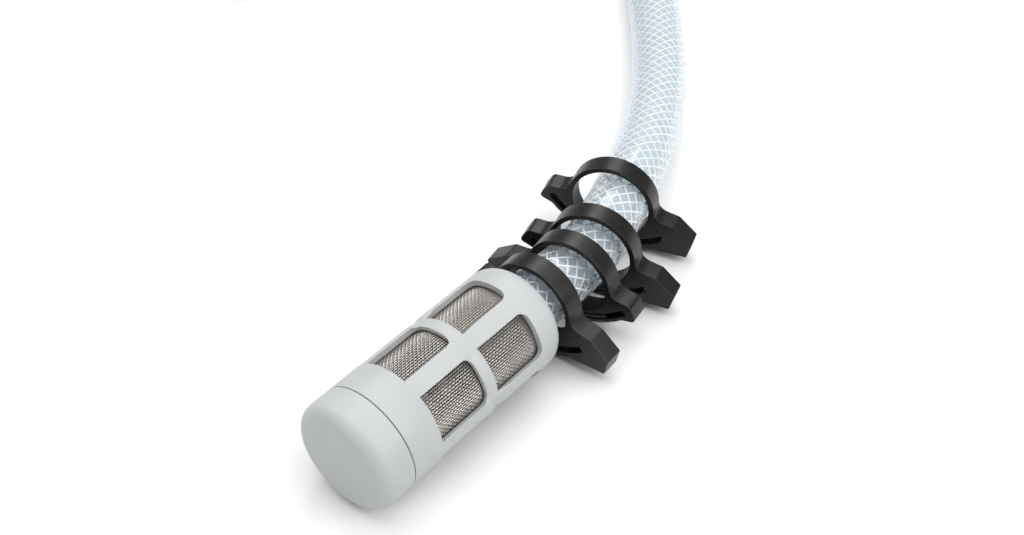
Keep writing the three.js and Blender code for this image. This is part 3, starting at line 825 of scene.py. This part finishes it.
def spring():
    bm = bmesh.new()
    steps = SPRING["turns"] * SPRING["steps"]
    length = (SPRING["end"] - SPRING["start"]) * MM
    ring = bmesh.ops.create_circle(
        bm, segments=10, radius=SPRING["wire"] * MM, matrix=Matrix.Translation(
            (CAP_FACE.x + SPRING["start"] * MM, AXIS_Y + SPRING["radius"] * MM, AXIS_Z)))["verts"]
    edges = list({e for v in ring for e in v.link_edges})
    bmesh.ops.spin(bm, geom=ring + edges, cent=(0, AXIS_Y, AXIS_Z), axis=(1, 0, 0),
                   dvec=(length / steps, 0, 0), angle=2 * math.pi * SPRING["turns"], steps=steps,
                   use_merge=False, use_normal_flip=False, use_duplicate=False)
    bmesh.ops.holes_fill(bm, edges=[e for e in bm.edges if e.is_boundary], sides=10)
    bmesh.ops.recalc_face_normals(bm, faces=bm.faces)
    return bm


spring_piece = make_object(spring(), "poppet_spring", spring_steel)
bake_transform(spring_piece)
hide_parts("valve_spring")

# ------------------------------------------------------------------ hose clips
# Four black nylon snap-grip clips wait open on the hose. The band flexes at its crown while the toothed
# jaws slide past each other and lock, and pliers squeeze the two lugs.

RING_IN, BAND, CLIP_W = 12.5, 1.7, 6.5
CROWN = RING_IN + BAND
JAW_R = {"inner_left": (24.15, 25.3), "inner_right": (25.6, 26.9), "tongue": (27.2, 28.6),
         "outer_right": (28.9, 30.8)}
INNER_LEFT_TIP, INNER_RIGHT_TIP, TONGUE_TIP, OUTER_RIGHT_TIP = 0, -31, 15.5, -11
LEFT_SLOT_END, RIGHT_SLOT_END = -47, 42
TOOTH_TURN, TOOTH_DEPTH = 1.4, 0.32
OUTER_TEETH_END, TONGUE_TEETH_END = 39, -33
CROWN_TURN = 24                 # the flexing part of the band reaches this far each side of the crown
CLIP_EDGE = 0.3

# Outlines of the half band's foot and of the lugs that the pliers squeeze, across and up in mm.
SHOULDER = [(14.5, 1.1), (15.1, 0.45), (15.8, 0), (16.7, -0.35), (17.6, -0.5)]
LUG = [(21.6, -0.8), (28.2, -5.5), (27.4, -11)]
EAR = [(-18.6, -7.4), (-20.2, -6.95), (-21.6, -6.6), (-22.5, -6.2), (-22.85, -5.4), (-22.5, -4.1),
       (-21.7, -2.4), (-21.3, -1.5), (-20.7, -0.95), (-19.6, -0.7)]

black_nylon = grained("black_nylon", (0.005, 0.005, 0.005), (0.009, 0.0085, 0.008), 0.3, 0.5,
                      grain=1100, tone=130, depth=0.08, Specular_IOR_Level=0.32,
                      Specular_Tint=(1, 0.965, 0.93, 1))


def drawn_across():
    """Fine marks from the mould run across the band, along the hose, and catch the light in streaks."""
    nodes, links = black_nylon.node_tree.nodes, black_nylon.node_tree.links
    shader = nodes["Principled BSDF"]
    place, turn = nodes.new("ShaderNodeTexCoord"), nodes.new("ShaderNodeMapping")
    turn.inputs["Rotation"].default_value = (0, 0, math.radians(-12))
    turn.inputs["Scale"].default_value = (0.06, 1, 1)
    streaks, rough = nodes.new("ShaderNodeTexNoise"), nodes.new("ShaderNodeMapRange")
    streaks.inputs["Scale"].default_value = 2400
    streaks.inputs["Detail"].default_value = 3
    rough.inputs["From Min"].default_value, rough.inputs["From Max"].default_value = 0.3, 0.7
    rough.inputs["To Min"].default_value, rough.inputs["To Max"].default_value = 0.27, 0.38
    link_up(links, (place.outputs["Object"], turn.inputs["Vector"]),
            (turn.outputs["Vector"], streaks.inputs["Vector"]),
            (streaks.outputs["Fac"], rough.inputs["Value"]),
            (rough.outputs["Result"], shader.inputs["Roughness"]))


drawn_across()


def about_crown(radius, turn):
    """A point of the outline: across, up, and whether it is a tooth's."""
    a = math.radians(turn)
    return radius * math.sin(a), CROWN - radius * math.cos(a), False


def jaw_arc(radius, start, end):
    steps = max(3, math.ceil(abs(end - start) / 2.5))
    return [about_crown(radius, start + (end - start) * k / steps) for k in range(steps + 1)]


def toothed_arc(radius, start, end, depth):
    """An arc cut with fine saw teeth, which are marked so that their edges stay sharp."""
    count = round(abs(end - start) / TOOTH_TURN)
    points = []
    for k in range(count):
        turn = start + (end - start) * k / count
        step = (end - start) / count
        points += [about_crown(radius, turn)[:2] + (True,),
                   about_crown(radius + depth, turn + step * 0.3)[:2] + (True,)]
    return points + [about_crown(radius, end)]


def bore_arc(radius, start, end):
    steps = max(2, math.ceil(abs(end - start) / 4))
    turns = [math.radians(start + (end - start) * k / steps) for k in range(steps + 1)]
    return [(radius * math.cos(a), radius * math.sin(a), False) for a in turns]


def meets_bore(radius):
    """Where a jaw's arc runs out into the bore: its turn about the bore's middle, and about the crown."""
    v = (RING_IN ** 2 - radius ** 2 + CROWN ** 2) / (2 * CROWN)
    turn = math.degrees(math.asin(v / RING_IN))
    return turn, math.degrees(math.asin(RING_IN * math.cos(math.radians(turn)) / radius))


def corners(*points):
    return [(u, v, False) for u, v in points]


def right_half():
    jaw, inner = JAW_R["outer_right"], JAW_R["inner_right"]
    meet, from_crown = meets_bore(inner[0])
    return [
        *bore_arc(CROWN, 90 - CROWN_TURN, 10),
        *corners(*SHOULDER, *LUG),
        *jaw_arc(jaw[1], 29, OUTER_RIGHT_TIP),
        *toothed_arc(jaw[0], OUTER_RIGHT_TIP, OUTER_TEETH_END, TOOTH_DEPTH),
        about_crown(jaw[0], RIGHT_SLOT_END),
        *jaw_arc(inner[1], RIGHT_SLOT_END, INNER_RIGHT_TIP), *jaw_arc(inner[0], INNER_RIGHT_TIP, from_crown),
        *bore_arc(RING_IN, meet, 90 - CROWN_TURN)[1:],
    ]


def left_half():
    jaw, tongue = JAW_R["inner_left"], JAW_R["tongue"]
    meet, from_crown = meets_bore(jaw[0])
    return [
        *bore_arc(RING_IN, 90 + CROWN_TURN, 180 - meet),
        *jaw_arc(jaw[0], -from_crown, INNER_LEFT_TIP)[1:],
        *jaw_arc(jaw[1], INNER_LEFT_TIP, LEFT_SLOT_END), *jaw_arc(tongue[0], LEFT_SLOT_END, TONGUE_TIP),
        *toothed_arc(tongue[1], TONGUE_TIP, TONGUE_TEETH_END, -TOOTH_DEPTH),
        about_crown(tongue[1], TONGUE_TEETH_END - 2.5),
        *corners(*EAR, *[(-u, v) for u, v in reversed(SHOULDER)]),
        *bore_arc(CROWN, 170, 90 + CROWN_TURN),
    ]


def crown_part():
    first, last = 90 - CROWN_TURN, 90 + CROWN_TURN
    return [*bore_arc(CROWN, last, first), *bore_arc(RING_IN, first, last)]


def clip_piece(outline, side, stand):
    """The outline made as thick as the clip is wide, its edges rounded except at the teeth and joins."""
    bm = bmesh.new()
    sharp = bm.verts.layers.int.new("sharp")
    loop = []
    for u, v, toothed in outline:
        at_join = abs(abs(math.degrees(math.atan2(u, v))) - CROWN_TURN) < 0.01
        point = bm.verts.new((0, -side * u * MM, (v - CROWN) * MM))
        point[sharp] = 2 if at_join else int(toothed)
        loop.append(point)
    face = bm.faces.new(loop)
    grown = bmesh.ops.extrude_face_region(bm, geom=[face])["geom"]
    moved = [g for g in grown if isinstance(g, bmesh.types.BMVert)]
    bmesh.ops.translate(bm, vec=(CLIP_W * MM, 0, 0), verts=moved)
    bmesh.ops.recalc_face_normals(bm, faces=bm.faces)
    rounded = [
        e for e in bm.edges
        if not any(v[sharp] == 1 for v in e.verts) and not all(v[sharp] == 2 for v in e.verts)
        and e.calc_face_angle(0) > math.radians(20)
    ]
    bmesh.ops.bevel(bm, geom=rounded, offset=CLIP_EDGE * MM, offset_type="OFFSET", segments=2,
                    profile=0.5, affect="EDGES", clamp_overlap=False, material=-1)
    bmesh.ops.transform(bm, matrix=stand, verts=bm.verts)
    if side < 0:
        bmesh.ops.recalc_face_normals(bm, faces=bm.faces)
    return bm


def even_shading(made):
    """Flat faces shade flat beside the rounded edges."""
    shading = made.modifiers.new("shading", "WEIGHTED_NORMAL")
    shading.keep_sharp = True


joints = {j["name"]: j for j in frame["record"]["behaviour"]["joints"]}
CLIPS = [
    {"clip": "clip_1", "turn": 19, "roll": -6.5, "grip": "inner"},
    {"clip": "clip_2", "turn": 16, "roll": -6, "grip": "outer"},
    {"clip": "clip_3", "turn": 9, "roll": 0, "grip": "inner", "side": -1},
    {"clip": "clip_4", "turn": 3, "roll": -3, "grip": "inner"},
]
for entry in CLIPS:
    clip, side = entry["clip"], entry.get("side", 1)
    crown = Vector(joints[f"{clip}_close"]["pos_m"])
    stand = (Matrix.Translation(crown) @ Matrix.Rotation(math.radians(entry["turn"]), 4, "Z")
             @ Matrix.Rotation(math.radians(-entry["roll"]), 4, "X"))
    for half, outline in (("inner", left_half()), ("outer", right_half())):
        made = make_object(clip_piece(outline, side, stand), f"{clip}_{half}_half", black_nylon)
        even_shading(made)
        place_on(made, f"{clip}_grip" if half == entry["grip"] else clip, "black_nylon",
                 f"{clip}_{half}_jaw")
    hinge = make_object(clip_piece(crown_part(), side, stand), f"{clip}_crown_band", black_nylon)
    even_shading(hinge)
    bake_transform(hinge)

# ------------------------------------------------------------------ coil tie
# A black hook-and-loop strap closed round the turns keeps the spare hose in its coil.

STRAP_WIDTH, STRAP_THICK = 8 * MM, 0.9 * MM
STRAP_CORNER = 4 * MM
STRAP_IN, STRAP_OUT = 70.2 * MM, 113.3 * MM     # its two sides, from the coil's middle
TAB_END = 127.9 * MM

tie_black = grained("tie_strap", (0.022, 0.022, 0.024), (0.04, 0.04, 0.042), 0.7, 0.95, grain=1800,
                    tone=500, depth=0.8)


def tie_strap():
    """Snug round the two turns, with its two ends pressed together into a tab outside them."""
    low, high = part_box("coil_tie")
    top, half_way = high.z - low.z, (high.z - low.z) / 2
    bm = bmesh.new()

    def strip(points):
        return [bm.verts.new((u, -STRAP_WIDTH / 2, v)) for u, v in points]

    def outline(gap):
        near, far = STRAP_IN + STRAP_CORNER, STRAP_OUT - STRAP_CORNER
        points = []
        for cu, cv, start in ((far, STRAP_CORNER, -90), (far, top - STRAP_CORNER, 0),
                              (near, top - STRAP_CORNER, 90), (near, STRAP_CORNER, 180)):
            points += arc((cu, cv), STRAP_CORNER - gap, start, start + 90, 6)
        return points

    loops = [strip(outline(gap)) for gap in (0, STRAP_THICK)]
    edges = [bm.edges.new(pair) for loop in loops for pair in zip(loop, loop[1:] + loop[:1])]
    faces = bmesh.ops.bridge_loops(bm, edges=edges)["faces"]
    root, neck = STRAP_OUT - STRAP_THICK / 2, STRAP_OUT + STRAP_THICK
    tab = [(root, 2.2), (neck, 1), (TAB_END, 1)]
    below = [(u, half_way - layers * STRAP_THICK) for u, layers in tab]
    above = [(u, half_way + layers * STRAP_THICK) for u, layers in reversed(tab)]
    grown = bmesh.ops.extrude_face_region(bm, geom=[*faces, bm.faces.new(strip(below + above))])["geom"]
    moved = [g for g in grown if isinstance(g, bmesh.types.BMVert)]
    bmesh.ops.translate(bm, vec=(0, STRAP_WIDTH, 0), verts=moved)
    bmesh.ops.recalc_face_normals(bm, faces=bm.faces)
    bmesh.ops.rotate(bm, verts=bm.verts, cent=(0, 0, 0), matrix=Matrix.Rotation(TIE_TURN, 3, "Z"))
    bmesh.ops.translate(bm, vec=COIL_CENTRE + Vector((0, 0, low.z)), verts=bm.verts)
    return bm


tie = make_object(tie_strap(), "coil_tie_strap", tie_black)
soften_edges(tie, 0.2 * MM, 2)
place_on(tie, "strainer", "tie_strap", "coil_tie")
